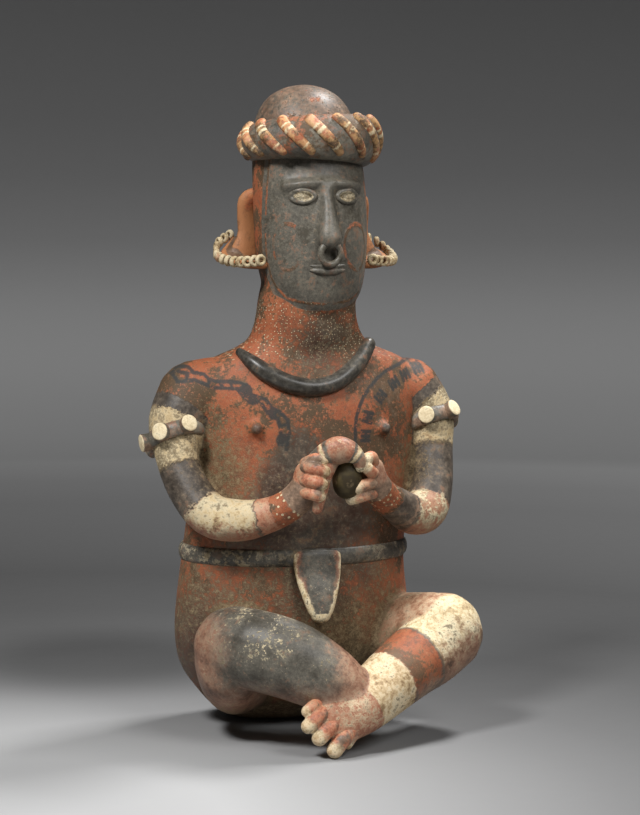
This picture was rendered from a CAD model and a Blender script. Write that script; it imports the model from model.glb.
"""A seated figure of painted fired clay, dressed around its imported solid.

Lengths in the tables are in parts of the figure, which is 840 parts tall: a part is a millimetre at
the real height. Places are counted from the axis of the trunk, on the floor. The figure looks
towards -Y, and its right arm and leg are on the -X side.
"""
import math
import random

import bmesh
import bpy
import numpy as np
from mathutils import Matrix, Vector
from mathutils.bvhtree import BVHTree


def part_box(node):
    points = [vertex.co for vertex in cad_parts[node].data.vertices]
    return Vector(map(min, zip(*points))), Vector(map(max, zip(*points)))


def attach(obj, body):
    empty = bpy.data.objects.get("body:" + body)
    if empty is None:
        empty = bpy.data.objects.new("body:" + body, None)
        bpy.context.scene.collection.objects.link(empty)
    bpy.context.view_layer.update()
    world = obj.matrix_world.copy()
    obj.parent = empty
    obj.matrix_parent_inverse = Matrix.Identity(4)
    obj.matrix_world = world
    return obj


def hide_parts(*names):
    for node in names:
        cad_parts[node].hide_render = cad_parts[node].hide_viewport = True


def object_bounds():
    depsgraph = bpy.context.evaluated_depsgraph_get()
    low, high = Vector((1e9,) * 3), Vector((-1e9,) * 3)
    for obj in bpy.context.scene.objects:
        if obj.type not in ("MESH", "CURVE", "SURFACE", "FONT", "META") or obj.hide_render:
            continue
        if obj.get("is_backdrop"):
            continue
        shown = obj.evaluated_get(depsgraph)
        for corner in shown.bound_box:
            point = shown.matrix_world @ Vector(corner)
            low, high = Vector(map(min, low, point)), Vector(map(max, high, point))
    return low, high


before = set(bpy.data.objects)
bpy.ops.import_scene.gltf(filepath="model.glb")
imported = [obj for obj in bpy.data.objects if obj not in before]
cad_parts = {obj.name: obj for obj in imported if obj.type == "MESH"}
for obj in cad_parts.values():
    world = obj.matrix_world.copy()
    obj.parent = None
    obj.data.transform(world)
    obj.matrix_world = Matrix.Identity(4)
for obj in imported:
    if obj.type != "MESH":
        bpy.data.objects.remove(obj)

cad_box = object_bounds()
TALL = 840
foot_of_box, top_of_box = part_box("seated_figure")
PART = (top_of_box.z - foot_of_box.z) / TALL
SEAT_MIDDLE = Vector((-16, 58, 0))


def at(x, y, z):
    """A place of the tables in the frame, whose origin is under the middle of the seat."""
    return (Vector((x, y, z)) - SEAT_MIDDLE) * PART


# The body. Trunk, neck, head, arms and legs were built up of coils of one clay and smoothed together
# while it was soft, so they are one piece with no seams. Each form is a loft of ovals, and a fine
# remesh runs them into one skin. The seat is cut flat where it stands.
def between(rows, share):
    """The row at a share of the way along the rows, on a smooth line through all of them."""
    last = len(rows) - 1
    step = min(max(share, 0), 1) * last
    i = min(int(step), last - 1)
    f = step - i
    a, b, c, d = (np.array(rows[min(max(k, 0), last)], float) for k in (i - 1, i, i + 1, i + 2))
    enter, leave, rise = (c - a) / 2, (d - b) / 2, c - b
    return b + enter * f + (3 * rise - 2 * enter - leave) * f ** 2 + (enter + leave - 2 * rise) * f ** 3


def begin(name):
    """An empty piece, open in edit mode."""
    bpy.ops.object.select_all(action="DESELECT")
    bpy.ops.mesh.primitive_circle_add(enter_editmode=True)
    bpy.ops.mesh.select_mode(type="VERT")
    bpy.ops.mesh.delete(type="VERT")
    piece = bpy.context.object
    piece.name = piece.data.name = name
    return piece


def oval(middle, across, deep, sides):
    """One oval section in the piece that is open: across and deep are its half axes."""
    turn = Matrix((across.normalized(), deep.normalized(), across.cross(deep).normalized())).transposed()
    bpy.ops.mesh.select_all(action="DESELECT")
    bpy.ops.mesh.primitive_circle_add(vertices=sides, radius=1, location=middle, rotation=turn.to_euler())
    bpy.ops.transform.resize(
        value=(across.length, deep.length, 1), orient_type="GLOBAL", orient_matrix=turn,
        orient_matrix_type="GLOBAL", center_override=middle,
    )


def skin(closes=False):
    """Bridge the sections that have no faces yet, and close the ends."""
    shape = bmesh.from_edit_mesh(bpy.context.object.data)
    for vertex in shape.verts:
        vertex.select = not vertex.link_faces
    shape.select_flush(True)
    bpy.ops.mesh.bridge_edge_loops(type="CLOSED" if closes else "SINGLE")
    if not closes:
        bpy.ops.mesh.select_all(action="DESELECT")
        bpy.ops.mesh.select_non_manifold()
        bpy.ops.mesh.fill_holes(sides=0)


def heading(rows, share, step=0.01):
    """The way that the rows run at a share of the way along them."""
    return Vector((between(rows, share + step) - between(rows, share - step))[:3])


def square_to(ahead, way):
    """The way that is square to ahead and nearest to the given one."""
    way = Vector(way)
    return (way - ahead * ahead.dot(way)).normalized()


def angles(count):
    """So many even steps round a full turn."""
    return [2 * math.pi * step / count for step in range(count)]


def limb(rows, deep=(0, -1, 0), sides=20, finer=4):
    """A round-ended limb. A row is its middle, its half width and its half depth; deep is the way of
    its depth."""
    ends = [math.radians(bend) for bend in (78, 52, 26)]
    steps = finer * (len(rows) - 1)
    places = [(0, -math.sin(bend), math.cos(bend)) for bend in ends]
    places += [(step / steps, 0, 1) for step in range(steps + 1)]
    places += [(1, math.sin(bend), math.cos(bend)) for bend in reversed(ends)]
    for share, beyond, shrink in places:
        x, y, z, wide, thick = between(rows, share)
        ahead = heading(rows, share).normalized()
        depth = square_to(ahead, deep)
        across = depth.cross(ahead)
        middle = at(x, y, z) + ahead * beyond * min(wide, thick) * PART
        oval(middle, across * wide * shrink * PART, depth * thick * shrink * PART, sides)
    skin()


def upright(rows, sides, finer=3):
    """A form of level ovals. A row is height, middle x and y, half width, front and back depth."""
    steps = finer * (len(rows) - 1)
    for step in range(steps + 1):
        z, x, y, wide, front, back = between(rows, step / steps)
        middle = at(x, y + (back - front) / 2, z)
        oval(middle, Vector((wide * PART, 0, 0)), Vector((0, (front + back) / 2 * PART, 0)), sides)
    skin()


trunk_rows = [
    [-8, -16, 58, 58, 26, 28], [10, -16, 36, 90, 56, 64], [28, -16, 22, 110, 72, 82],
    [50, -16, 10, 129, 84, 94], [75, -16, 2, 147, 93, 102], [105, -16, -3, 157, 101, 107],
    [150, -17, -5, 158, 104, 105], [225, -17, -8, 150, 102, 100], [296, -9, -8, 149, 99, 97],
    [360, -5, -8, 152, 95, 94], [410, -3, -8, 159, 91, 91], [440, -2, -10, 161, 83, 83],
    [466, -1, -14, 150, 71, 73], [486, -1, -18, 125, 63, 65], [498, -3, -22, 96, 59, 61],
    [511, -4, -26, 77, 60, 60], [535, -6, -29, 67, 63, 58], [562, -6, -32, 64, 63, 56],
    [590, -4, -36, 61, 61, 53],
]
head_rows = [
    [545, 0, -72, 24, 24, 36], [552, 0, -64, 44, 38, 56], [570, 0, -54, 61, 55, 76],
    [600, 0, -48, 69, 64, 84], [640, 0, -44, 73, 66, 86], [690, 0, -40, 74, 64, 86],
    [735, -1, -34, 72, 60, 84], [770, -2, -26, 69, 60, 78], [800, -3, -19, 62, 57, 68],
    [822, -3, -15, 48, 46, 52], [835, -3, -13, 27, 27, 29], [839.5, -3, -13, 6, 6, 6],
]
right_arm_rows = [
    [-154, -12, 436, 46, 46], [-177, -24, 402, 38, 38], [-182, -43, 362, 28, 28], [-173, -64, 324, 27, 28],
    [-151, -89, 291, 28, 29], [-118, -112, 285, 27, 27], [-88, -130, 292, 23, 24],
    [-62, -145, 306, 21, 22], [-42, -156, 330, 20, 22], [-40, -160, 348, 17, 18],
]
left_arm_rows = [
    [141, -12, 436, 46, 46], [163, -24, 405, 38, 38], [165, -43, 362, 28, 28], [158, -64, 320, 27, 28],
    [142, -85, 287, 28, 29], [116, -104, 284, 27, 27], [90, -120, 298, 23, 24],
    [66, -136, 314, 20, 21], [48, -150, 332, 20, 21], [45, -153, 350, 16, 17],
]
right_shin_rows = [
    [-126, -110, 124, 51, 51], [-104, -146, 124, 48, 51], [-68, -172, 114, 45, 50], [-30, -188, 94, 40, 44],
    [4, -194, 70, 33, 36], [32, -190, 56, 26, 29], [50, -178, 50, 20, 20],
]
left_shin_rows = [
    [154, -118, 128, 53, 54], [130, -134, 110, 47, 48], [98, -152, 96, 43, 44], [65, -172, 81, 40, 41],
    [28, -194, 62, 36, 37], [4, -206, 50, 33, 33],
]
thigh_rows = [
    [[-80, -8, 88, 56, 64], [-110, -62, 92, 50, 66], [-126, -108, 110, 49, 60]],
    [[72, -12, 104, 54, 58], [112, -60, 118, 51, 55], [148, -108, 127, 50, 53]],
]
tucked_foot_rows = [
    [46, -182, 54, 22, 20], [66, -160, 56, 24, 17], [88, -136, 62, 25, 14], [102, -120, 66, 21, 11],
]
instep_rows = [
    [12, -200, 54, 34, 34], [-8, -212, 49, 34, 27], [-22, -218, 46, 33, 19], [-29, -221, 45, 29, 13],
]
nose_rows = [[0, -99, 704, 8, 10], [0, -107, 674, 10, 13], [0, -118, 640, 16, 14]]
palms, palm_half = [(-42, -157, 340), (46, -152, 338)], (18, 17, 25)
nipple_rows = [
    [[-86, -81, 399, 12, 12], [-90, -93, 399, 7, 7]],
    [[80, -81, 395, 12, 12], [85, -93, 395, 7, 7]],
]
shoulder_rows = [
    [[-96, -16, 450, 40, 39], [-126, -14, 445, 43, 42], [-152, -12, 438, 45, 45]],
    [[90, -16, 447, 38, 38], [116, -14, 442, 42, 41], [139, -12, 437, 45, 45]],
]


def ball(middle, half):
    """A round pad of clay with the given half sizes."""
    bpy.ops.mesh.select_all(action="DESELECT")
    bpy.ops.mesh.primitive_uv_sphere_add(segments=24, ring_count=16, radius=1, location=at(*middle))
    bpy.ops.transform.resize(value=[size * PART for size in half], center_override=at(*middle))


def cut_flat():
    """Cut the open piece flat where it stands on the ground."""
    bpy.ops.mesh.select_all(action="SELECT")
    bpy.ops.mesh.bisect(plane_co=(0, 0, 0), plane_no=(0, 0, 1), clear_inner=True, use_fill=True)


body = begin("clay_body")
upright(trunk_rows, 64)
upright(head_rows, 48)
limb(right_arm_rows, deep=(-0.49, -0.87, 0), sides=28)
limb(left_arm_rows, deep=(0.49, -0.87, 0), sides=28)
for rows in thigh_rows + shoulder_rows + [right_shin_rows, left_shin_rows, tucked_foot_rows]:
    limb(rows, deep=(0, 0, 1), sides=32)
limb(instep_rows, deep=(0.03, -0.96, 0.22))
limb(nose_rows)
brow_line = ((6, -103), (20, -102), (36, -96), (50, -84))
for side in (-1, 1):
    limb([[side * x, y, 711 - 0.002 * x * x, 6, 5] for x, y in brow_line])
for palm in palms:
    ball(palm, palm_half)
for rows in nipple_rows:
    limb(rows, deep=(0, 0, 1))
bpy.ops.mesh.select_all(action="SELECT")
bpy.ops.mesh.normals_make_consistent(inside=False)
cut_flat()
bpy.ops.object.mode_set(mode="OBJECT")


def apply(kind, **settings):
    """Add a modifier to the active piece and apply it."""
    bpy.ops.object.modifier_add(type=kind)
    modifier = bpy.context.object.modifiers[-1]
    for name, value in settings.items():
        setattr(modifier, name, value)
    bpy.ops.object.modifier_apply(modifier=modifier.name)


def settle(piece, grain, rounds):
    """Run the forms of the open piece into one skin, smooth it, and let it ride with the figure."""
    if bpy.context.object.mode == "EDIT":
        bpy.ops.mesh.select_all(action="SELECT")
        bpy.ops.mesh.normals_make_consistent(inside=False)
        bpy.ops.object.mode_set(mode="OBJECT")
    if grain:
        apply("REMESH", mode="VOXEL", voxel_size=grain * PART)
    if rounds:
        apply("SMOOTH", factor=0.5, iterations=rounds)
    bpy.ops.object.shade_smooth()
    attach(piece, "root")


settle(body, 3.85, 4)
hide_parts("seated_figure")
bpy.ops.object.mode_set(mode="EDIT")
bpy.ops.mesh.select_mode(type="FACE")
shape = bmesh.from_edit_mesh(body.data)
painted_low, painted_high = at(-195, -200, 366), at(160, -12, 492)
for face in shape.faces:
    middle = face.calc_center_median()
    face.select = all(painted_low[k] < middle[k] < painted_high[k] for k in range(3))
bpy.ops.mesh.subdivide(number_cuts=1)
bpy.ops.object.mode_set(mode="OBJECT")
skin_of_body = BVHTree.FromObject(body, bpy.context.evaluated_depsgraph_get())


def read(piece, what):
    """The co or the normal of each vertex of a piece."""
    found = np.empty(3 * len(piece.data.vertices))
    piece.data.vertices.foreach_get(what, found)
    return found.reshape(-1, 3)


def places(piece):
    """The vertices of a piece as rows of x, y, z in parts."""
    return read(piece, "co") / PART + np.array(SEAT_MIDDLE)


def follow(points, rows, steps=90):
    """How far along the rows each point lies, from 0 to 1, and how far outside their skin."""
    line = np.array([between(rows, step / steps) for step in range(steps + 1)])
    share, gap = np.zeros(len(points)), np.full(len(points), 1e6)
    for step in range(steps):
        start, way = line[step, :3], line[step + 1, :3] - line[step, :3]
        along = np.clip((points - start) @ way / (way @ way), 0, 1)
        off = np.linalg.norm(points - start - along[:, None] * way, axis=1) - line[step, 3:5].mean()
        nearer = off < gap
        gap[nearer] = off[nearer]
        share[nearer] = (step + along[nearer]) / steps
    return share, gap


def along_nearest(points, all_rows):
    """How far along the nearest of several rows each point lies."""
    shares, gaps = zip(*(follow(points, rows, 30) for rows in all_rows))
    return np.take_along_axis(np.array(shares), np.argmin(gaps, 0)[None], 0)[0]


def outside(points, rows):
    """How far outside the skin of an upright form each point lies."""
    heights = np.array([row[0] for row in rows])
    x, y, wide, front, back = (
        np.interp(points[:, 2], heights, [row[k] for row in rows]) for k in range(1, 6)
    )
    depth = np.where(points[:, 1] < y, front, back)
    reach = np.hypot((points[:, 0] - x) / wide, (points[:, 1] - y) / depth)
    beyond = np.maximum(heights[0] - points[:, 2], 0) + np.maximum(points[:, 2] - heights[-1], 0)
    return (reach - 1) * np.minimum(wide, depth) + beyond


def mark(piece, name, values):
    """Store a number for each vertex, which the material reads by its name."""
    attribute = piece.data.attributes.new(name, "FLOAT", "POINT")
    attribute.data.foreach_set("value", np.asarray(values, np.float32))


def hollows(piece, rounds=24):
    """Above 0 in hollows and creases and below 0 on ridges, in parts."""
    points = places(piece)
    edges = np.empty(2 * len(piece.data.edges), int)
    piece.data.edges.foreach_get("vertices", edges)
    a, b = edges.reshape(-1, 2).T
    count = len(points)
    ends = np.maximum(np.bincount(a, minlength=count) + np.bincount(b, minlength=count), 1)
    smooth = points.copy()
    for _ in range(rounds):
        smooth = np.stack([
            (np.bincount(a, smooth[b, k], count) + np.bincount(b, smooth[a, k], count)) / ends
            for k in range(3)
        ], 1)
    return ((smooth - points) * read(piece, "normal")).sum(1)


def stain(points, spots):
    """The sum of soft round spots, each a place, a reach and a strength."""
    total = np.zeros(len(points))
    for x, y, z, reach, strength in spots:
        total += strength * np.exp(-((points - (x, y, z)) ** 2).sum(1) / reach ** 2)
    return total


def stroke(points, line):
    """The distance on the chest, seen from the front, to a painted line of x, z places."""
    flat_points = points[:, [0, 2]]
    nearest = np.full(len(points), 1e3)
    for start, end in zip(line, line[1:]):
        start, way = np.array(start, float), np.array(end, float) - start
        share = np.clip((flat_points - start) @ way / (way @ way), 0, 1)
        nearest = np.minimum(nearest, np.linalg.norm(flat_points - start - share[:, None] * way, axis=1))
    return nearest


# What is painted on the body goes by its own measures. A form's number goes from 0 to 1 at the form's
# edge. The arms and the left shin carry bands, which are counted from the shoulder and the knee down.
points = places(body)
trunk_gap, head_gap = outside(points, trunk_rows), outside(points, head_rows)
right_arm, right_arm_gap = follow(points, right_arm_rows)
left_arm, left_arm_gap = follow(points, left_arm_rows)
left_shin, left_shin_gap = follow(points, left_shin_rows + instep_rows[-1:])
right_leg_gap = np.minimum(follow(points, right_shin_rows)[1], follow(points, thigh_rows[0])[1] + 3)
left_thigh_gap = follow(points, thigh_rows[1])[1]
arm_gap = np.minimum(right_arm_gap, left_arm_gap)
leg_gap = np.min([left_shin_gap, right_leg_gap, left_thigh_gap], 0)
for name, others_gap, own_gap, soft in (
    ("arm", np.minimum(trunk_gap, leg_gap), arm_gap, 8),
    ("left_shin", np.min([trunk_gap, right_leg_gap, left_thigh_gap - 6], 0), left_shin_gap, 5),
    ("right_leg", np.minimum(trunk_gap, left_shin_gap), right_leg_gap, 7),
    ("left_thigh", trunk_gap, left_thigh_gap, 7),
    ("head", trunk_gap, head_gap, 4),
):
    mark(body, name, 0.5 + (others_gap - own_gap) / soft)
right_edges = [0, 0.05, 0.085, 0.255, 0.41, 0.633, 0.71, 0.79, 0.9, 1]
left_edges = [0, 0.012, 0.058, 0.2, 0.41, 0.6, 0.72, 0.84, 0.9, 1]
mark(body, "arm_band", np.where(
    right_arm_gap < left_arm_gap,
    np.interp(right_arm, right_edges, range(10)), np.interp(left_arm, left_edges, range(10)),
))
mark(body, "shin_band", np.interp(left_shin, [0, 0.26, 0.49, 0.72, 0.9, 1], range(6)))
around = np.arctan2(points[:, 0] + 5, -(points[:, 1] + 40))
neck_round, face_round = 62, 70
mark(body, "neck_round", around * neck_round)
jaw_height, face_half_wide, jaw_drop = 652, 99, 104
from_middle, under_jaw = np.abs(around * face_round), np.maximum(jaw_height - points[:, 2], 0)
lean_in = (from_middle / face_half_wide) ** 2.8 + (under_jaw / jaw_drop) ** 3.2
mark(body, "face", (1 - lean_in ** 0.36) * face_half_wide)
mark(body, "cheek", np.hypot(from_middle - 50, (points[:, 2] - 630) * 0.75))
ink_lines = [
    [(-164, 476), (-176, 476), (-184, 468), (-180, 457), (-170, 459), (-167, 468), (-176, 470)],
    [(-164, 476), (-160, 469), (-147, 467), (-142, 461), (-134, 458), (-121, 458), (-107, 457), (-97, 454),
     (-92, 441), (-76, 436), (-69, 426), (-58, 419), (-49, 409), (-48, 390), (-52, 372)],
    [(-170, 459), (-160, 460), (-150, 456), (-137, 450), (-109, 449), (-101, 438), (-89, 432), (-80, 429),
     (-74, 419), (-62, 412), (-58, 397), (-60, 378)],
    [(150, 484), (122, 478), (94, 469), (78, 460), (65, 448), (55, 437), (49, 426), (43, 411),
    (41, 395), (41, 374)],
]
for x, z, turn in (
    (145, 470, 0.2), (123, 462, 0.35), (103, 452, 0.5), (80, 436, 0.8), (60, 410, 1.3), (56, 386, 1.5),
):
    along, upward = Vector((math.cos(turn), math.sin(turn))), Vector((-math.sin(turn), math.cos(turn)))
    for ends in (((-6, 6), (-6, -6)), ((6, 6), (6, -6)), ((0, 5), (0, -5)), ((-6, 0), (6, 0))):
        ink_lines.append([Vector((x, z)) + along * a + upward * b for a, b in ends])
rungs = [
    ((-142, 461), (-142, 451)), ((-128, 458), (-126, 450)), ((-116, 458), (-115, 449)),
    ((-83, 438), (-86, 431)), ((-66, 424), (-74, 420)), ((-50, 404), (-58, 402)), ((-49, 388), (-59, 386)),
]
lumps = [(-99, 447, 8), (-92, 436, 7), (-66, 417, 7), (-56, 384, 8)]
ink = np.min([
    *(stroke(points, line) - 2 for line in ink_lines),
    *(stroke(points, line) - 1.8 for line in rungs),
    *(np.hypot(points[:, 0] - x, points[:, 2] - z) - half for x, z, half in lumps),
], 0)
front_of_chest, no_ink = -12, 50
mark(body, "ink", np.where(points[:, 1] < front_of_chest, ink, no_ink))
mark(body, "soil", stain(points, [
    (30, -92, 70, 62, 1.1), (60, -88, 150, 40, 0.5), (-10, -100, 130, 45, 0.6), (-140, -60, 380, 40, 0.8),
    (-125, -70, 330, 40, 0.9), (128, -60, 340, 40, 0.9), (-50, -100, 315, 70, 0.35),
    (70, -88, 195, 40, 0.4), (-60, -86, 210, 55, 0.3), (120, -30, 395, 30, 0.5),
    (-140, -40, 430, 26, 0.5), (0, 90, 60, 120, 0.6), (10, -100, 290, 70, 0.2), (-8, -96, 492, 46, 0.45),
    (30, -80, 520, 40, 0.35), (-140, 0, 230, 50, 0.35), (-110, 60, 380, 70, 0.4), (90, 70, 440, 60, 0.4),
    (20, 100, 250, 80, 0.4), (-110, -70, 170, 60, 0.5), (-20, -105, 205, 50, 0.3),
    (20, -95, 100, 60, 0.6), (-150, 0, 120, 60, 0.5), (100, -70, 215, 40, 0.35),
    (-165, -20, 180, 50, 0.5), (-160, -10, 290, 40, 0.35),
]))
mark(body, "soot", stain(points, [
    (-36, -100, 380, 26, 0.8), (-20, -102, 350, 40, 0.8), (-58, -98, 312, 40, 0.8),
    (-15, -104, 300, 50, 0.9), (30, -104, 305, 44, 0.7), (-20, -106, 185, 40, 0.7),
    (-75, -90, 150, 50, 0.5), (55, -95, 212, 26, 0.7), (40, -85, 455, 34, 0.4), (95, -70, 430, 40, 0.4),
    (110, -64, 370, 40, 0.5), (-100, -60, 480, 30, 0.25), (-10, -90, 500, 40, 0.9),
    (-110, -70, 180, 55, 0.4), (-40, -108, 262, 45, 0.7), (90, -80, 190, 40, 0.4),
    (-145, -40, 120, 55, 0.7), (-160, -30, 170, 50, 0.5), (-150, 0, 90, 60, 0.8),
    (-158, -20, 285, 40, 0.4), (0, -110, 262, 50, 0.3), (10, -100, 150, 50, 0.5),
    (140, -40, 240, 40, 0.3), (-120, -60, 250, 36, 0.5), (-60, -98, 280, 50, 0.7),
    (60, -95, 280, 44, 0.5), (-110, -80, 275, 40, 0.5), (30, -80, 520, 30, 0.4), (0, -95, 532, 45, 0.35),
    (-60, -98, 355, 26, 0.5), (20, -104, 262, 30, 0.4), (60, 80, 300, 90, 0.5), (-80, 85, 420, 80, 0.5),
]))
mark(body, "hollow", hollows(body))
mark(body, "nipple", np.min([np.linalg.norm(points - rows[1][:3], axis=1) for rows in nipple_rows], 0))
mark(body, "up", read(body, "normal")[:, 2])


class Finish:
    """A value or a colour inside a material. Sums and products of values add the Math nodes."""

    # The noises of the fired surface: a scale per metre, a detail and a roughness each.
    MOTTLES = {
        "broad": (9, 3, 0.6), "cloud": (32, 5, 0.65), "patch": (95, 5, 0.7), "fleck": (210, 4, 0.75),
        "grain": (620, 3, 0.7),
    }

    def __init__(self, tree, output=None):
        self.tree = tree
        self.output = output
        self.noises = {}

    def node(self, kind, settings, inputs, output=0):
        """A new node: its settings first, then what its sockets hold or are linked to."""
        made = self.tree.nodes.new("ShaderNode" + kind)
        for name, value in settings.items():
            if name == "stops":
                ramp = made.color_ramp
                while len(ramp.elements) < len(value):
                    ramp.elements.new(0.5)
                for element, (place, colour) in zip(ramp.elements, value):
                    element.position = place
                    element.color = (*colour, 1)
            else:
                setattr(made, name, value)
        for key, value in inputs.items():
            if isinstance(value, Finish):
                self.tree.links.new(value.output, made.inputs[key])
            else:
                made.inputs[key].default_value = value
        return Finish(self.tree, made.outputs[output])

    def math(self, operation, *values):
        return self.node("Math", {"operation": operation}, dict(enumerate(values)))

    def __add__(self, other):
        return self.math("ADD", self, other)

    __radd__ = __add__

    def __sub__(self, other):
        return self.math("SUBTRACT", self, other)

    def __rsub__(self, other):
        return self.math("SUBTRACT", other, self)

    def __mul__(self, other):
        return self.math("MULTIPLY", self, other)

    __rmul__ = __mul__

    def rise(self, start, end):
        """0 before start and 1 after end, smoothly."""
        return self.node("MapRange", {"interpolation_type": "SMOOTHSTEP"},
                         {"Value": self, "From Min": start, "From Max": end})

    def within(self, low, high, soft=0.04):
        """1 between low and high."""
        return self.rise(low - soft, low + soft) * (1 - self.rise(high - soft, high + soft))

    def noise(self, scale, detail=3.0, rough=0.55):
        """Cloudy noise around 0.5, at a scale per metre. Self is a place, which keeps its noises."""
        key = (scale, detail, rough)
        if key not in self.noises:
            sockets = {"Vector": self, "Scale": scale, "Detail": detail, "Roughness": rough}
            self.noises[key] = self.node("TexNoise", {}, sockets)
        return self.noises[key]

    def mottle(self, name):
        """One of the noises of the fired surface, from broad to grain."""
        return self.noise(*self.MOTTLES[name])

    def mix(self, **shares):
        """The sum of some noises of the fired surface, each times its share."""
        total = None
        for name, share in shares.items():
            part = self.mottle(name) * share
            total = part if total is None else total + part
        return total

    def dots(self, scale, scatter, start, end, **settings):
        """1 in small round dots, so many to a metre, that soften from start to end."""
        sockets = {"Vector": self, "Scale": scale, "Randomness": scatter}
        return 1 - self.node("TexVoronoi", settings, sockets).rise(start, end)

    def axis(self, name):
        """How far along X, Y or Z this place lies."""
        return self.node("SeparateXYZ", {}, {"Vector": self}, name)

    def attribute(self, name):
        return self.node("Attribute", {"attribute_name": name}, {}, "Fac")

    def shade(self, *stops):
        """A colour from this value, through stops of a place from 0 to 1 and a colour."""
        return self.node("ValToRGB", {"stops": stops}, {"Fac": self})

    def blend(self, under, over):
        """The colour over where self is 1, and the colour under where it is 0."""
        return self.node("Mix", {"data_type": "RGBA"}, {0: self, 6: under, 7: over}, 2)


def new_finish(piece, name):
    """Give a piece a new material, and tell the places that the material is read at."""
    material = bpy.data.materials.new(name)
    material.use_nodes = True
    piece.data.materials.append(material)
    return Finish(material.node_tree).node("TexCoord", {}, {}, "Object")


# A coat is a colour, a roughness and a height. The slip is red ochre, burnished and since mottled with
# black by the damp of the ground.
def red_slip(place):
    broad, cloud, fleck = place.mottle("broad"), place.mottle("cloud"), place.mottle("fleck")
    colour = place.mix(broad=0.3, cloud=0.4, fleck=0.3).shade(
        (0.41, (0.15, 0.06, 0.03)), (0.47, (0.31, 0.084, 0.033)), (0.53, (0.39, 0.142, 0.06)),
        (0.6, (0.42, 0.23, 0.115)),
    )
    smut = (place.mix(fleck=0.75, grain=0.25) + (broad - 0.5) * 1.5 + (cloud - 0.5) * 1.3).rise(0.41, 0.6)
    colour = (smut * 0.92).blend(colour, (0.058, 0.042, 0.022, 1))
    bright = ((1 - fleck) * 0.6 + place.mix(grain=0.4)).rise(0.53, 0.64)
    colour = (bright * 0.5).blend(colour, (0.52, 0.25, 0.13, 1))
    return colour, 0.48 + place.mix(cloud=0.3), place.mix(grain=0.45, fleck=0.6, cloud=0.4)


def dark_paint(place):
    colour = place.mix(broad=0.2, cloud=0.4, fleck=0.25, grain=0.15).shade(
        (0.42, (0.06, 0.052, 0.038)), (0.5, (0.13, 0.118, 0.093)), (0.58, (0.24, 0.215, 0.165)),
    )
    worn = place.mix(patch=0.4, broad=0.3, fleck=0.3).rise(0.535, 0.6)
    colour = (worn * 0.7).blend(colour, (0.25, 0.115, 0.065, 1))
    return colour, 0.3 + place.mix(cloud=0.25), place.mix(grain=0.3, fleck=0.3, cloud=0.3)


def black_paint(place):
    colour = place.mix(cloud=0.4, patch=0.3, fleck=0.3).shade(
        (0.42, (0.026, 0.023, 0.018)), (0.5, (0.055, 0.05, 0.041)), (0.58, (0.12, 0.105, 0.08)),
    )
    worn = place.mix(patch=0.6, cloud=0.4).rise(0.54, 0.62)
    colour = (worn * 0.7).blend(colour, (0.17, 0.08, 0.045, 1))
    return colour, 0.34 + place.mix(patch=0.25), place.mix(fleck=0.4, cloud=0.3)


def cream_paint(place):
    colour = place.mix(cloud=0.35, patch=0.35, fleck=0.3).shade(
        (0.4, (0.27, 0.18, 0.09)), (0.46, (0.5, 0.38, 0.21)), (0.52, (0.72, 0.6, 0.39)),
        (0.62, (0.66, 0.62, 0.44)),
    )
    bare = (place.mix(fleck=0.6, patch=0.4) + (place.mottle("cloud") - 0.5) * 0.4).rise(0.545, 0.63)
    colour = (bare * 0.8).blend(colour, (0.14, 0.095, 0.05, 1))
    return colour, 0.65 + place.mix(fleck=0.15), 0.8 + place.mix(fleck=0.6) - 0.5 * bare


def pink_paint(place):
    colour = place.mix(cloud=0.4, patch=0.3, fleck=0.3).shade(
        (0.4, (0.18, 0.08, 0.045)), (0.47, (0.42, 0.15, 0.08)), (0.53, (0.52, 0.26, 0.15)),
        (0.62, (0.53, 0.38, 0.24)),
    )
    dirt = place.mix(patch=0.4, fleck=0.6).rise(0.53, 0.63)
    colour = (dirt * 0.8).blend(colour, (0.1, 0.062, 0.034, 1))
    return colour, 0.42 + place.mix(cloud=0.2), place.mix(fleck=0.6, patch=0.3)


def mauve_paint(place):
    colour = place.mix(cloud=0.4, patch=0.3, fleck=0.3).shade(
        (0.4, (0.085, 0.055, 0.036)), (0.5, (0.21, 0.135, 0.09)), (0.6, (0.38, 0.25, 0.165)),
    )
    return colour, 0.38 + place.mix(cloud=0.2), place.mix(fleck=0.6, patch=0.3)


def umber_stain(place):
    """What the damp ground has left on the slip: browner and duller, but as smooth."""
    colour = place.mix(cloud=0.3, patch=0.3, fleck=0.4).shade(
        (0.4, (0.055, 0.03, 0.016)), (0.5, (0.13, 0.072, 0.036)), (0.6, (0.25, 0.135, 0.072)),
    )
    return colour, 0.5 + place.mix(cloud=0.3), place.mix(fleck=0.7, patch=0.3)


def soil_crust(place):
    colour = place.mix(patch=0.3, fleck=0.45, grain=0.25).shade(
        (0.4, (0.045, 0.033, 0.017)), (0.5, (0.14, 0.1, 0.051)), (0.61, (0.28, 0.205, 0.112)),
    )
    return colour, 0.85 + place.mix(grain=0.1), place.mix(patch=0.7, fleck=0.8, grain=0.4)


def lay(under, over, cover, thickness=0.0):
    """One coat over another where cover is 1."""
    colour = under[0].node("Mix", {"data_type": "RGBA"}, {0: cover, 6: under[0], 7: over[0]}, 2)
    rough = under[1] + (over[1] - under[1]) * cover
    return colour, rough, under[2] + (over[2] - under[2]) * cover + thickness * cover


def tinted(coat, colour):
    """The same coat in one colour."""
    return (*colour, 1), coat[1], coat[2]


def layers(place, coat, *overs):
    """A coat under others, each with its cover and thickness. A paint is a coat once it has a place."""
    coat = coat(place) if callable(coat) else coat
    for over, cover, *thickness in overs:
        coat = lay(coat, over(place) if callable(over) else over, cover, *thickness)
    return coat


def face_paint(place):
    return layers(place, dark_paint, (black_paint, place.mottle("cloud").rise(0.4, 0.58) * 0.7))


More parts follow.
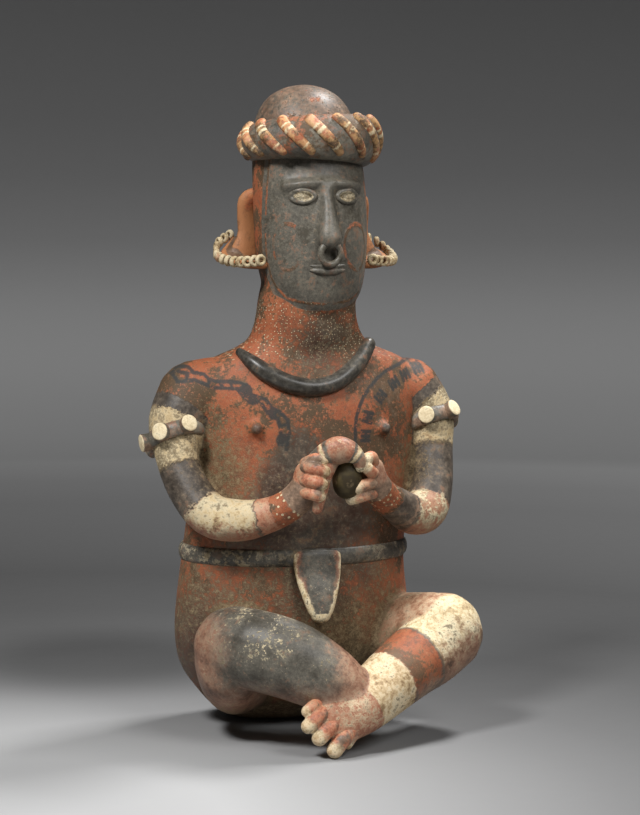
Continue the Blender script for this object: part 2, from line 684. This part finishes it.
def fire(place, coat, relief=0.0009):
    """Give the material at this place its coats."""
    colour, rough, height = coat
    shader = place.tree.nodes["Principled BSDF"]
    bump = height.node("Bump", {}, {"Strength": 0.9, "Distance": relief, "Height": height})
    shader.inputs["Specular IOR Level"].default_value = 0.36
    for socket, value in (("Base Color", colour), ("Roughness", rough), ("Normal", bump)):
        place.tree.links.new(value.output, shader.inputs[socket])


place = new_finish(body, "painted_body")
cloud, patch = place.mottle("cloud"), place.mottle("patch")
wobble, edge_noise = patch - 0.5, place.mottle("fleck") - 0.5
height, across, up = place.axis("Z"), place.axis("X"), place.attribute("up")
dark, cream, pink, mauve = dark_paint(place), cream_paint(place), pink_paint(place), mauve_paint(place)
black, crust, slip = black_paint(place), soil_crust(place), red_slip(place)
soot, arm = place.attribute("soot"), place.attribute("arm")
coat = layers(
    place, slip, (umber_stain, (soot + wobble * 2 + edge_noise * 1.4).rise(0.15, 0.9) * 0.6),
    (black, (soot + wobble * 1.8 + edge_noise * 2.2).rise(0.3, 1.25) * 0.75),
)
ink = place.attribute("ink") + wobble * 3 + edge_noise * 4
inked = (1 - ink.rise(-0.6, 1.6)) * patch.rise(0.33, 0.46)
nipple = 1 - (place.attribute("nipple") + wobble * 4).rise(5, 9)
neck = place.node("CombineXYZ", {}, {"X": place.attribute("neck_round") * 0.001, "Y": height})
on_neck = height.within(0.487, 0.56, 0.012) * (1 - arm.rise(0.4, 0.6))
dotted = neck.dots(200.0, 0.85, 0.1, 0.2, voronoi_dimensions="2D") * on_neck * patch.rise(0.42, 0.52)
right_leg = (place.attribute("right_leg") + wobble * 0.9).rise(0.2, 0.8)
greyed = (across + wobble * 0.07).within(-0.142, -0.004, 0.018) * (height + wobble * 0.06).rise(0.05, 0.1)
chalky = (across + wobble * 0.1).within(-0.13, -0.055, 0.03) * (height + wobble * 0.1).rise(0.09, 0.14)
flecks = (edge_noise + chalky * 0.1 + (cloud - 0.5) * 0.6).rise(0.15, 0.19)
thigh = (place.attribute("left_thigh") + wobble * 0.6).rise(0.2, 0.8)
outer = (across + wobble * 0.06).rise(0.1, 0.15)
coat = layers(
    place, coat,
    (tinted(coat, (0.03, 0.031, 0.029)), inked * 0.92),
    (black, nipple * 0.85),
    (cream, dotted * 0.85, 0.2),
    (lay(mauve, pink, 0.3), right_leg),
    (lay(dark, black, 0.35), right_leg * greyed),
    (cream, right_leg * flecks, 0.4),
    (mauve, thigh),
    (lay(pink, cream, 0.3), thigh * 0.65),
    (cream, thigh * outer * patch.rise(0.44, 0.6) * 0.3),
)

shin = place.attribute("left_shin").rise(0.3, 0.7)
shin_band = place.attribute("shin_band") + wobble * 0.1 + edge_noise * 0.12
knee = (1 - shin_band.rise(0.98, 1.02)) * (up + wobble * 1.8).rise(-0.25, 0.55)
red_band, topside = shin_band.within(1.0, 2, 0.03), (up + wobble * 1.2).rise(-0.5, -0.1)
on_foot = shin_band.rise(2.98, 3.04)
shin_coat = layers(
    place, lay(mauve, pink, 0.5 * cloud),
    (cream, knee, 0.3),
    (pink, shin_band.rise(1.0, 1.04)),
    (slip, red_band * topside * 0.85),
    (mauve, red_band * (1 - topside)),
    (lay(cream, pink, 0.12), shin_band.within(2, 3, 0.03), 0.3),
    (dark, shin_band.within(0.96, 1.04, 0.02) * 0.7),
    (lay(pink, mauve, 0.35), on_foot),
    (cream, on_foot * place.mix(fleck=0.5, cloud=0.5).rise(0.5, 0.6) * 0.6),
)

arm_band = place.attribute("arm_band") + wobble * 0.3 + edge_noise * 0.22
forearm, on_left = arm_band.within(4, 5), across.rise(0.015, 0.017)
patchy = 1 - on_left * (1 - (cloud + wobble * 0.6).rise(0.48, 0.56)) * 0.85
crusty = (up + wobble * 2.2).rise(-0.7, 0.0)
soiled = (place.mix(cloud=0.5, patch=0.5) + edge_noise * 0.6).rise(0.44, 0.56)
arm_coat = layers(
    place, mauve,
    (black, (arm_band.within(3, 4) + arm_band.within(1, 2)) * 0.82),
    (pink, forearm * 0.6),
    (pink, arm_band.within(5, 6) * (1 - on_left) * 0.7),
    (black, arm_band.within(5.2, 6) * on_left * 0.75),
    (black, arm_band.within(4.95, 5.08, 0.03) * 0.8),
    (slip, arm_band.within(6, 7)),
    (cream, arm_band.within(2, 3) + forearm * crusty * patchy, 0.4),
    (crust, soiled * (arm_band.within(1.9, 3.1) * 0.85 + forearm * 0.35)),
    (lay(pink, mauve, 0.15 + on_left * 0.5), arm_band.rise(7.9, 8.1)),
    (cream, place.dots(150.0, 0.6, 0.24, 0.32) * arm_band.within(6.2, 7.1), 0.4),
)
seam = (arm + edge_noise * 0.5).within(0.12, 0.6, 0.14) * arm_band.within(2.2, 4.6, 0.3)

head = place.attribute("head").rise(0.3, 0.7)
face = place.attribute("face") + wobble * 5
cheek = place.attribute("cheek") + wobble * 5
bare_lines = (face.within(9, 12.5, 1.0) + cheek.within(20, 24, 1.0) * 0.9) * cloud.rise(0.44, 0.52)
crown = head * (height + wobble * 0.02).rise(0.77, 0.785)
dirt = place.attribute("hollow").rise(0.5, 2.6)
low = (1 - height.rise(0.0, 0.07)) * 1.7 * (1 - shin)
soil = place.attribute("soil") + wobble * 1.4 + edge_noise * 2.4 + dirt * 0.55 + low
fire(place, layers(
    place, coat,
    (shin_coat, shin),
    (arm_coat, arm.rise(0.25, 0.75) * arm_band.rise(0.95, 1.05)),
    (black, seam * 0.85),
    (face_paint, head * face.rise(0, 1.5) * (1 - bare_lines)),
    (mauve, crown),
    (black, crown * place.mix(cloud=0.3, fleck=0.7).rise(0.4, 0.6)),
    (slip, crown * place.mix(patch=0.5, fleck=0.5).rise(0.54, 0.62) * 0.8, 0.3),
    (crust, soil.rise(0.3, 1.25) * 0.9),
))


# The ears. Each is a flat flap pressed to the side of the head, whose lobe spreads into a shelf, with
# a row of small clay rings standing on its rim, each tucked behind the one before it.
ear_rows = [
    [-67, -4, 697, 10, 8], [-77, -2, 689, 12, 8], [-77, 0, 668, 13, 7], [-76, 0, 645, 14, 7],
    [-81, -2, 620, 20, 8],
]
lobe_rows = [
    [-66, -54, 607, 10, 6], [-80, -44, 607, 15, 6], [-92, -20, 610, 19, 6], [-95, 2, 620, 18, 6],
    [-80, 24, 638, 13, 6],
]


def on_side(side, rows):
    """The rows as they are where side is 1, and mirrored where it is -1."""
    return [[side * row[0], *row[1:]] for row in rows]


ears = begin("ears")
for side in (1, -1):
    limb(on_side(side, ear_rows))
    limb(on_side(side, lobe_rows), deep=(0, 0, 1))
settle(ears, 1.6, 4)
points = places(ears)
mark(ears, "shelf", np.minimum(*(follow(points, on_side(side, lobe_rows))[1] for side in (1, -1))))
mark(ears, "hollow", hollows(ears))
place = new_finish(ears, "painted_ears")
wobble = place.noise(90, 4, 0.65) - 0.5
slip = red_slip(place)
fire(place, layers(
    place, slip,
    (tinted(slip, (0.5, 0.2, 0.075)), place.mottle("cloud").rise(0.34, 0.52) * 0.65),
    (black_paint, (1 - (place.attribute("shelf") + wobble * 4).rise(-2.2, -0.4)) * 0.75),
    (soil_crust, place.attribute("hollow").rise(0.3, 1.6) * 0.7),
))

rim_line = [
    [-75, -63, 611], [-92, -57, 609], [-107, -42, 609], [-117, -19, 613], [-118, 2, 621], [-109, 21, 633],
    [-90, 35, 643],
]
RINGS, ring_half, ring_bore = 14, 7.9, 2.7
bpy.ops.object.select_all(action="DESELECT")
bpy.ops.mesh.primitive_torus_add(
    major_segments=20, minor_segments=10, major_radius=(ring_half + ring_bore) / 2 * PART,
    minor_radius=(ring_half - ring_bore) / 2 * PART,
)
ring_pattern = bpy.context.object


def facing(middle, out):
    """The placing that puts a pattern at a place of the tables, with its top turned outwards."""
    return Matrix.Translation(at(*middle)) @ out.to_track_quat("Z", "Y").to_matrix().to_4x4()


def copy_of(pattern, placing):
    """A copy of the pattern, put in its place, with a mesh of its own."""
    copy = pattern.copy()
    copy.data = pattern.data.copy()
    bpy.context.collection.objects.link(copy)
    copy.data.transform(placing)
    return copy


def gather(pieces, name):
    """Join pieces into one of the given name, open in edit mode."""
    bpy.ops.object.select_all(action="DESELECT")
    for piece in pieces:
        piece.select_set(True)
    bpy.context.view_layer.objects.active = pieces[0]
    bpy.ops.object.join()
    joined = bpy.context.object
    joined.name = joined.data.name = name
    bpy.ops.object.mode_set(mode="EDIT")
    return joined


ear_rings = []
hand = random.Random(4)
head_axis = Matrix.Translation(at(0, 58, 0))
mirror = head_axis @ Matrix.Diagonal((-1, 1, 1, 1)) @ head_axis.inverted()
for side in (1, -1):
    for ring in range(RINGS):
        share = (ring + 0.2) / (RINGS - 0.6)
        middle, ahead = between(rim_line, share), heading(rim_line, share, 0.02)
        out = Matrix.Rotation(math.radians(28), 3, "Z") @ Vector((ahead.y, -ahead.x, 0)).normalized()
        out = Vector((-out.x if out.x * middle[0] < 0 and share > 0.2 else out.x, out.y, 0.12))
        grow = 1 - 0.08 * hand.random() - 0.08 * share
        placing = facing(middle + (0, 0, 2), out) @ Matrix.Diagonal((grow, grow, 1.3, 1))
        ear_rings.append(copy_of(ring_pattern, placing if side > 0 else mirror @ placing))
bpy.data.objects.remove(ring_pattern)
rings = gather(ear_rings, "ear_rings")
settle(rings, 0, 0)
mark(rings, "hollow", hollows(rings, 8))
place = new_finish(rings, "cream_rings")
fire(place, layers(
    place, cream_paint,
    (pink_paint, place.noise(60, 3).rise(0.56, 0.66) * 0.6),
    (soil_crust, 0.3 + place.attribute("hollow").rise(0.0, 1.0) * 0.6),
), 0.0003)


# The turban. A thick roll of clay is laid round the skull, and fourteen thin ones lie slanting over it,
# like the turns of a wound cloth. Each was rolled and pressed on by hand.
turban_middle, turban_reach, turban_thick, turban_tall, uneven = (0, -31, 765), 67, 23, 29, 4
ROLLS, roll_lean = 14, math.radians(36)


def turban_place(round_by, over, proud):
    """Round by is 0 at the front, and over is 0 outside and grows to the top."""
    turned = round_by - roll_lean / 2 * math.sin(over)
    tall = turban_tall + uneven * math.sin(turned)
    out = turban_reach + (turban_thick + proud) * math.cos(over)
    x, y, z = turban_middle
    z += uneven * math.cos(turned)
    return [x + out * math.sin(turned), y - out * math.cos(turned), z + (tall + proud) * math.sin(over)]


turban = begin("turban_roll")
for turned in angles(72):
    away = Vector((math.sin(turned), -math.cos(turned), 0))
    tall = turban_tall + uneven * math.sin(turned)
    lump = 1 + 0.02 * math.sin(11 * turned)
    x, y, z = turban_middle
    middle = at(x + turban_reach * away.x, y + turban_reach * away.y, z + uneven * math.cos(turned))
    oval(middle, away * turban_thick * lump * PART, Vector((0, 0, tall * PART)), 36)
skin(closes=True)
settle(turban, 2.2, 3)
mark(turban, "hollow", hollows(turban))
place = new_finish(turban, "painted_turban")
wobble = place.noise(60, 4, 0.65) - 0.5
worn = (place.axis("Z") * 14 + wobble * 3 - 10.5).rise(0.0, 0.45) * 0.9
fire(place, layers(
    place, black_paint,
    (dark_paint, 0.85),
    (red_slip, worn * place.mottle("cloud").rise(0.38, 0.52)),
    (soil_crust, place.attribute("hollow").rise(0.5, 2.2) * 0.6),
))

straps = begin("turban_straps")
strap_rows = []
for number in range(ROLLS):
    round_by = (number - 0.08) * 2 * math.pi / ROLLS
    top, foot = 0.92 + 0.16 * hand.random(), -0.72 - 0.12 * hand.random()
    rows = []
    for share in np.linspace(0, 1, 9):
        middle = turban_place(round_by, top + (foot - top) * share, -0.6 - 1.4 * share ** 3)
        rows.append([*middle, 7.6 - 1.6 * share ** 2, 6])
    away = Vector((math.sin(round_by), -math.cos(round_by), 0.4))
    limb(rows, deep=away, sides=16, finer=3)
    strap_rows.append(rows)
settle(straps, 0, 0)
mark(straps, "down", along_nearest(places(straps), strap_rows))
place = new_finish(straps, "striped_straps")
wobble = place.noise(150, 3, 0.65) - 0.5
down = place.attribute("down") + wobble * 0.05
stripes = down.within(0.27, 0.31, 0.014) + down.within(0.37, 0.44, 0.014)
stripes = (stripes + down.within(0.8, 0.84, 0.014) * 0.8) * place.mix(patch=0.6, cloud=0.4).rise(0.4, 0.5)
tan = ((0.66, 0.38, 0.16, 1), 0.6, 0.4)
low = (down + (place.noise(60, 4, 0.65) - 0.5) * 1.6).rise(0.6, 0.95)
fire(place, layers(
    place, red_slip,
    (pink_paint, place.noise(35, 3).rise(0.5, 0.64)),
    (tan, place.mix(patch=0.6, fleck=0.4).rise(0.44, 0.58) * 0.6),
    (black_paint, low * 0.15),
    (cream_paint, stripes * 0.9, 0.3),
), 0.0004)


# The face has a calm look. Lids, eyes and lips are thin rolls and pads of clay pressed onto the head,
# and a ring hangs before the upper lip, held in the foot of the nose.
crown, chin, head_half = TALL, 548, 73
eye_height = (crown + chin) / 2
brow_height = eye_height + 0.057 * (crown - chin)
nose_foot = (brow_height + chin) / 2
mouth_height = nose_foot - (nose_foot - chin) / 3
eye_width = 2 * head_half / 5


def on_face(x, z, proud):
    """The place on the front of the face, some way proud of the skin."""
    place, normal, _, _ = skin_of_body.ray_cast(at(x, -400, z), Vector((0, 1, 0)))
    return list((place + normal * proud * PART) / PART + SEAT_MIDDLE)


features = begin("face_relief")
for side in (1, -1):
    rim = []
    for angle in angles(40):
        x = side * eye_width + math.cos(angle) * eye_width / 2
        z = eye_height + math.sin(angle) * abs(math.sin(angle)) ** 0.3 * 0.27 * eye_width
        rim.append(Vector(on_face(x, z, 0.8)))
    for step, middle in enumerate(rim):
        ahead = (rim[(step + 1) % len(rim)] - rim[step - 1]).normalized()
        deep = square_to(ahead, (0, -1, 0))
        heavy = 3.3 + 0.7 * max(middle.z - eye_height, 0) / 8
        oval(at(*middle), deep.cross(ahead) * heavy * PART, deep * 3.2 * PART, 14)
    skin(closes=True)
    ball(on_face(side * eye_width, eye_height, -2.4), (0.44 * eye_width, 6, 0.25 * eye_width))
half = 0.78 * eye_width
for height, thick in ((mouth_height + 2.6, 3.5), (mouth_height - 3.4, 4.3)):
    rows = []
    for share in np.linspace(-1, 1, 9):
        thickness = thick * (1.15 - 0.8 * share * share)
        rows.append([*on_face(share * half, height + 1.6 * share * share, 0), thickness, 1.1 * thickness])
    limb(rows, sides=16, finer=2)
settle(features, 1.1, 3)
points = places(features)
mark(features, "hollow", hollows(features, 16))
up = (points[:, 2] - eye_height) / (0.24 * eye_width)
off_eyes = [np.hypot((points[:, 0] - side * eye_width) / (0.42 * eye_width), up) for side in (1, -1)]
mark(features, "eye", np.minimum(*off_eyes))
place = new_finish(features, "painted_features")
wobble = place.noise(150, 4, 0.65) - 0.5
eye = 1 - (place.attribute("eye") + wobble * 0.3).rise(0.85, 1)
fire(place, layers(
    place, face_paint,
    (cream_paint, eye * (0.25 + place.mottle("grain").rise(0.46, 0.6) * 0.5)),
    (soil_crust, place.attribute("hollow").rise(0.3, 1.4) * 0.7),
), 0.0004)

nose_ring_reach = 13
bpy.ops.object.select_all(action="DESELECT")
bpy.ops.mesh.primitive_torus_add(
    major_segments=48, minor_segments=18, major_radius=nose_ring_reach * PART, minor_radius=4.2 * PART,
    location=at(0, -121, nose_foot + 5 - nose_ring_reach), rotation=(math.radians(90), 0, 0),
)
nose_ring = bpy.context.object
nose_ring.name = nose_ring.data.name = "nose_ring"
bpy.ops.object.transform_apply(location=True, rotation=True, scale=True)
settle(nose_ring, 0, 0)
place = new_finish(nose_ring, "painted_nose_ring")
fire(place, layers(place, dark_paint, (mauve_paint, place.noise(50, 4).rise(0.5, 0.6))), 0.0004)


# The collar is a heavy roll laid over the collar bones. It is painted dark and polished, and its right
# end runs out to a point.
collar_line = [
    [-99, -46, 494], [-88, -65, 482], [-72, -78, 469], [-46, -88, 456], [-16, -92, 450],
    [14, -90, 455], [38, -83, 469], [56, -72, 484], [71, -58, 502],
]
collar_taper = [0.5, 0.85, 1, 1, 1, 1, 1, 0.95, 0.85]
collar_rows = [[*middle, 11.5 * size, 12 * size] for middle, size in zip(collar_line, collar_taper)]
collar = begin("collar")
limb(collar_rows, deep=(0, -0.8, 0.6), sides=36, finer=8)
settle(collar, 0, 0)
place = new_finish(collar, "polished_collar")
colour, rough, relief = black_paint(place)
fire(place, (colour, rough * 0.75, relief * 0.6), 0.0004)


# The belt is a flat roll pressed round the waist. The flap hangs from it in front: a tongue of clay,
# dark in the middle and cream along its edge.
belt_height, belt_half, belt_thick = 233, 11.5, 6.2
belt = begin("belt")
for angle in angles(96):
    out = Vector((math.sin(angle), -math.cos(angle), 0))
    waist, normal, _, _ = skin_of_body.ray_cast(at(-17, -8, belt_height), out)
    level = Vector((normal.x, normal.y, 0)).normalized()
    oval(waist - level * PART, level * belt_thick * PART, Vector((0, 0, belt_half * PART)), 20)
skin(closes=True)
settle(belt, 0, 2)
place = new_finish(belt, "painted_belt")
across = place.axis("X")
crusty = (1 - across.rise(-0.09, 0.0)) * 0.6 + across.rise(0.05, 0.09) * 0.4
fire(place, layers(
    place, black_paint,
    (dark_paint, 0.35),
    (cream_paint, place.noise(110, 5, 0.75).rise(0.5, 0.58) * crusty * 0.7, 0.4),
    (soil_crust, place.noise(40, 4, 0.7).rise(0.55, 0.68) * 0.7),
))

flap_long, flap_wide, flap_thick = 87, 66, 9
flap_outline = ((-0.04, 0.5, 0), (0.25, 0.46, 5), (0.5, 0.38, 12), (0.75, 0.27, 17), (0.84, 0.2, 18))
flap_rows = [
    [-15, -110 - away, belt_height - down * flap_long, half * flap_wide, flap_thick]
    for down, half, away in flap_outline
]
flap = begin("flap")
limb(flap_rows, sides=40, finer=8)
settle(flap, 1.8, 5)
points = places(flap)
share, _ = follow(points, flap_rows)
half_here = np.interp(share, np.linspace(0, 1, len(flap_rows)), [row[3] for row in flap_rows])
tip = (flap_rows[-1][2] + 13 - points[:, 2]) / 18
edge = np.max([np.abs(points[:, 0] + 15) / half_here, tip], 0)
lower = np.clip((belt_height - 24 - points[:, 2]) / 45, 0, 1)
mark(flap, "edge", edge)
mark(flap, "rim", edge + 0.36 * lower)
place = new_finish(flap, "painted_flap")
wobble = place.noise(70, 4, 0.7) - 0.5
fire(place, layers(
    place, black_paint,
    (dark_paint, 0.5),
    (pink_paint, (place.attribute("edge") + wobble * 0.7).rise(0.6, 0.85) * 0.6),
    (cream_paint, (place.attribute("rim") + wobble * 0.5).rise(0.8, 0.95), 0.3),
    (cream_paint, place.mottle("fleck").rise(0.62, 0.66) * 0.8),
))


# The armbands. Each is a roll round the upper arm with four round studs on it, cream on their faces.
# The turns of the studs are counted in degrees from the front, outwards.
armbands, studs = begin("armbands"), []
band_deep, band_tall, stud_proud = 6.5, 10.5, 6.5
for rows, side, share, lean, turns in (
    (right_arm_rows, -1, 0.155, 0.32, (-16, 35, 86, 140)),
    (left_arm_rows, 1, 0.136, -0.08, (-17, 36, 120, 172)),
):
    row = between(rows, share)
    middle, half = Vector(row[:3]), row[3]
    axis = heading(rows, share).normalized()
    axis = (axis - Vector((side, 0, 0)) * lean).normalized()
    front = square_to(axis, (0, -1, 0))
    for angle in angles(64):
        out = Matrix.Rotation(angle, 3, axis) @ front
        oval(at(*(middle + out * (half + 0.5))), out * band_deep * PART, axis * band_tall * PART, 20)
    skin(closes=True)
    for turn in turns:
        out = Matrix.Rotation(-side * math.radians(turn), 3, axis) @ front
        studs.append((middle + out * (half + stud_proud), out))
settle(armbands, 0, 2)
place = new_finish(armbands, "painted_armbands")
fire(place, layers(place, mauve_paint, (dark_paint, place.noise(40, 4).rise(0.42, 0.55))))

stud_half, stud_thick, stud_rim = 11.6, 13, 3
bpy.ops.object.select_all(action="DESELECT")
bpy.ops.mesh.primitive_cylinder_add(
    vertices=40, radius=stud_half * PART, depth=stud_thick * PART, enter_editmode=True,
)
stud_pattern = bpy.context.object
bpy.ops.mesh.select_mode(type="FACE")
bpy.ops.mesh.select_all(action="DESELECT")
shape = bmesh.from_edit_mesh(stud_pattern.data)
for face in shape.faces:
    face.select = face.normal.z > 0.9
bpy.ops.mesh.inset(thickness=stud_rim * PART)
bpy.ops.transform.translate(value=(0, 0, 0.7 * PART))
bpy.ops.object.mode_set(mode="OBJECT")
apply("BEVEL", width=1.6 * PART, segments=4, limit_method="ANGLE", angle_limit=math.radians(40))
mark(stud_pattern, "out", read(stud_pattern, "co")[:, 2] / PART)
stud_copies = []
for middle, out in studs:
    tilt = Matrix.Rotation(math.radians(hand.uniform(-6, 6)), 4, "X")
    squash = Matrix.Diagonal((hand.uniform(0.93, 1.02), 1, 1, 1))
    stud_copies.append(copy_of(stud_pattern, facing(middle, out) @ tilt @ squash))
bpy.data.objects.remove(stud_pattern)
stud_row = gather(stud_copies, "armband_studs")
settle(stud_row, 0, 0)
place = new_finish(stud_row, "stud_faces")
wobble = place.noise(160, 4, 0.7) - 0.5
pale = layers(place, cream_paint, (((0.8, 0.7, 0.48, 1), 0.7, 0.5), 0.3))
fire(place, layers(
    place, mauve_paint,
    (dark_paint, place.noise(50, 4).rise(0.45, 0.56)),
    (pale, (place.attribute("out") + wobble * 2).rise(5.2, 6.2), 0.3),
), 0.0005)


# What the hands hold: an arched strip painted with cross stripes, a blade that hangs behind the right
# fist, and a round gourd under the arch.
arch_rows = [
    [20, -181, 356, 7, 9], [17, -181, 367, 10, 13], [6, -179, 375, 15, 16], [-8, -177, 377, 18, 17],
    [-24, -170, 371, 14, 15], [-40, -162, 359, 9, 12], [-49, -157, 351, 7, 10],
]
blade_rows = [
    [-14, -174, 366, 11, 8], [-26, -178, 345, 11, 7], [-31, -178, 324, 10, 6], [-34, -175, 303, 7, 6],
]
arch = begin("held_arch")
limb(arch_rows, sides=32, finer=6)
limb(blade_rows, deep=(0.3, -1, 0), sides=24, finer=6)
settle(arch, 1.5, 4)
points = places(arch)
share, arch_gap = follow(points, arch_rows)
mark(arch, "along", np.where(arch_gap < follow(points, blade_rows)[1], share, 0.5))
mark(arch, "hollow", hollows(arch))
place = new_finish(arch, "striped_arch")
wobble = place.noise(120, 4, 0.65) - 0.5
along = place.attribute("along") + wobble * 0.06
dark_stripes = along.within(0.57, 0.61, 0.012) + along.within(0.67, 0.75, 0.012)
dark_stripes = dark_stripes + along.within(0.2, 0.235, 0.01) + along.within(0.3, 0.34, 0.01)
pale_stripes = along.within(0.24, 0.295, 0.01) + 1 - along.rise(0.03, 0.06) + along.within(0.62, 0.65, 0.01)
fire(place, layers(
    place, pink_paint,
    (mauve_paint, 0.3 + 0.5 * place.mottle("cloud").rise(0.42, 0.58)),
    (cream_paint, place.mix(fleck=0.7, patch=0.3).rise(0.56, 0.62) * 0.7),
    (dark_paint, dark_stripes),
    (cream_paint, pale_stripes, 0.2),
    (soil_crust, place.attribute("hollow").rise(0.3, 1.8) * 0.6),
), 0.0004)

gourd_rows = [
    [height, 8, -166, half, half, half]
    for height, half in ((314.5, 5), (318, 11), (325, 16.5), (337, 19), (350, 18), (361, 13), (368, 8))
]
gourd = begin("held_gourd")
upright(gourd_rows, 36)
settle(gourd, 1.6, 4)
place = new_finish(gourd, "olive_gourd")
crust_colour, _, relief = soil_crust(place)
smoky = place.noise(40, 4).shade((0.4, (0.03, 0.02, 0.006)), (0.6, (0.075, 0.055, 0.018)))
colour = place.noise(70, 3).rise(0.6, 0.72).blend(smoky, crust_colour)
fire(place, (colour, 0.55 + 0.2 * place.noise(50), 0.5 * relief), 0.0004)


# Fingers and toes are small rolls, each bent and pressed on, with the nail painted cream on its end.
finger_joints = [
    [[-46, -164, 361], [-36, -175, 367], [-25, -178, 367]],
    [[-48, -170, 357], [-37, -184, 355], [-27, -184, 352]],
    [[-50, -172, 341], [-39, -186, 339], [-30, -184, 336]],
    [[-49, -171, 325], [-40, -184, 323], [-33, -182, 321]],
    [[45, -160, 358], [38, -172, 367], [28, -178, 364]],
    [[45, -162, 344], [36, -176, 349], [28, -180, 356]],
    [[47, -160, 333], [31, -174, 333], [16, -175, 329]],
    [[44, -160, 320], [28, -170, 318], [13, -168, 314]],
]
toe_ends = [
    ([-44, -212, 66], [-61, -220, 58], 8), ([-34, -217, 57], [-62, -227, 41], 9.5),
    ([-20, -221, 46], [-49, -231, 26], 10), ([-4, -225, 34], [-30, -233.5, 10.2], 10.5),
    ([4, -222, 30], [-12, -230, 16], 6.5),
]
finger_half = 7.8
finger_rows = [[[*joint, finger_half, finger_half] for joint in joints] for joints in finger_joints]
toe_rows = []
for root, tip, half in toe_ends:
    knuckle = np.array(root) * 0.45 + np.array(tip) * 0.55 + (0, -2, 2)
    toe_rows.append([[*root, half, half], [*knuckle, half, half], [*tip, half, half * 0.9]])
for name, all_rows, deep in (
    ("fingers", finger_rows, (0.1, -1, 0.1)),
    ("toes", toe_rows, (0.03, -0.96, 0.22)),
):
    digits = begin(name)
    for rows in all_rows:
        limb(rows, deep=deep, sides=18, finer=8)
    cut_flat()
    settle(digits, 1.3, 3)
    mark(digits, "along", along_nearest(places(digits), all_rows))
    mark(digits, "hollow", hollows(digits, 14))
    place = new_finish(digits, "painted_" + name)
    wobble = place.noise(170, 4, 0.65) - 0.5
    nail = (place.attribute("along") + wobble * 0.4).rise(0.66, 0.86)
    fire(place, layers(
        place, pink_paint,
        (mauve_paint, place.noise(45, 4).rise(0.5, 0.62)),
        (cream_paint, nail * 0.8, 0.3),
        (soil_crust, place.attribute("hollow").rise(0.3, 1.6) * 0.75),
    ), 0.0004)


# The studio. The figure stands on grey paper that turns up all round it like a shallow bowl, so that
# every side has the same ground. The main light stands high in front of it on the left, a second one
# high on the right, and a wide one lower in front of it on the right.
camera_place, camera_target = at(-856.1, -2875.3, 660), at(21, -6.4, 417)
bpy.ops.object.camera_add(
    location=camera_place,
    rotation=(camera_target - camera_place).to_track_quat("-Z", "Y").to_euler(),
)
camera = bpy.context.object
camera.data.lens = 100.5
camera.data.clip_end = 50
bpy.context.scene.camera = camera
bpy.context.scene.view_settings.view_transform = "Standard"

floor_reach, sweep_bend, wall_rise, bend_steps = 3.4, 1.0, 3, 10
bpy.ops.object.select_all(action="DESELECT")
bpy.ops.mesh.primitive_circle_add(vertices=128, radius=floor_reach, enter_editmode=True)
sweep = bpy.context.object
sweep.name = sweep.data.name = "paper_sweep"
reach, rise = floor_reach, 0
for bend in range(1, bend_steps + 1):
    turn = math.radians(90 / bend_steps * bend)
    new_reach, new_rise = floor_reach + sweep_bend * math.sin(turn), sweep_bend * (1 - math.cos(turn))
    bpy.ops.mesh.extrude_region_move(TRANSFORM_OT_translate={"value": (0, 0, new_rise - rise)})
    bpy.ops.transform.resize(value=(new_reach / reach, new_reach / reach, 1))
    reach, rise = new_reach, new_rise
bpy.ops.mesh.extrude_region_move(TRANSFORM_OT_translate={"value": (0, 0, wall_rise)})
bpy.ops.mesh.select_all(action="DESELECT")
shape = bmesh.from_edit_mesh(sweep.data)
for vertex in shape.verts:
    vertex.select = vertex.co.z < 0.0001
shape.select_flush(True)
bpy.ops.mesh.edge_face_add()
bpy.ops.mesh.select_all(action="SELECT")
bpy.ops.mesh.normals_make_consistent(inside=True)
bpy.ops.object.mode_set(mode="OBJECT")
bpy.ops.object.shade_smooth()
sweep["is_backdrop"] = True
place = new_finish(sweep, "grey_paper")
height = place.axis("Z")


def grey_ramp(value, *stops):
    """A grey from a value, through stops of a place and a tone."""
    return value.shade(*((stop, (tone, tone, tone)) for stop, tone in stops))


def far_from(place, spot):
    """The distance on the paper from a spot."""
    return place.node("VectorMath", {"operation": "DISTANCE"}, {0: place, 1: spot}, "Value")


level = grey_ramp(
    far_from(place, (-0.5, -0.45, 0)) * 0.25,
    (0.04, 0.34), (0.075, 0.36), (0.11, 0.28), (0.15, 0.21), (0.19, 0.148), (0.22, 0.115),
    (0.25, 0.095), (0.29, 0.072), (0.35, 0.06), (0.45, 0.056), (0.6, 0.095), (0.72, 0.13), (0.83, 0.185),
    (0.95, 0.28),
)
shaded = (1 - far_from(place, (-0.16, 0.42, 0)).rise(0.1, 0.34)) * 0.5
level = shaded.blend(level, (0, 0, 0, 1))
wall = grey_ramp(
    height * 0.5, (0.1, 0.34), (0.205, 0.27), (0.305, 0.19), (0.405, 0.15), (0.5, 0.13), (0.675, 0.105),
)
tone = height.rise(0.0, 0.5).blend(level, wall)
fire(place, (tone, 0.8 + 0.1 * place.noise(30), 0.2 * height))

for name, place, size, power in (
    ("key", (-1.8, -1.5, 3.0), 0.7, 130),
    ("top", (1.3, 0.35, 3.0), 0.6, 100),
    ("front", (1.0, -2.5, 2.4), 1.3, 60),
):
    aim = at(0, -40, 420) - Vector(place)
    bpy.ops.object.light_add(type="AREA", location=place, rotation=aim.to_track_quat("-Z", "Y").to_euler())
    light = bpy.context.object
    light.name = name + "_light"
    light.data.size = size
    light.data.energy = power
world = bpy.data.worlds.new("studio")
world.use_nodes = True
world.node_tree.nodes["Background"].inputs["Color"].default_value = (0.03, 0.03, 0.031, 1)
bpy.context.scene.world = world

size = {"cad": [list(corner) for corner in cad_box], "visual": [list(corner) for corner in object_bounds()]}
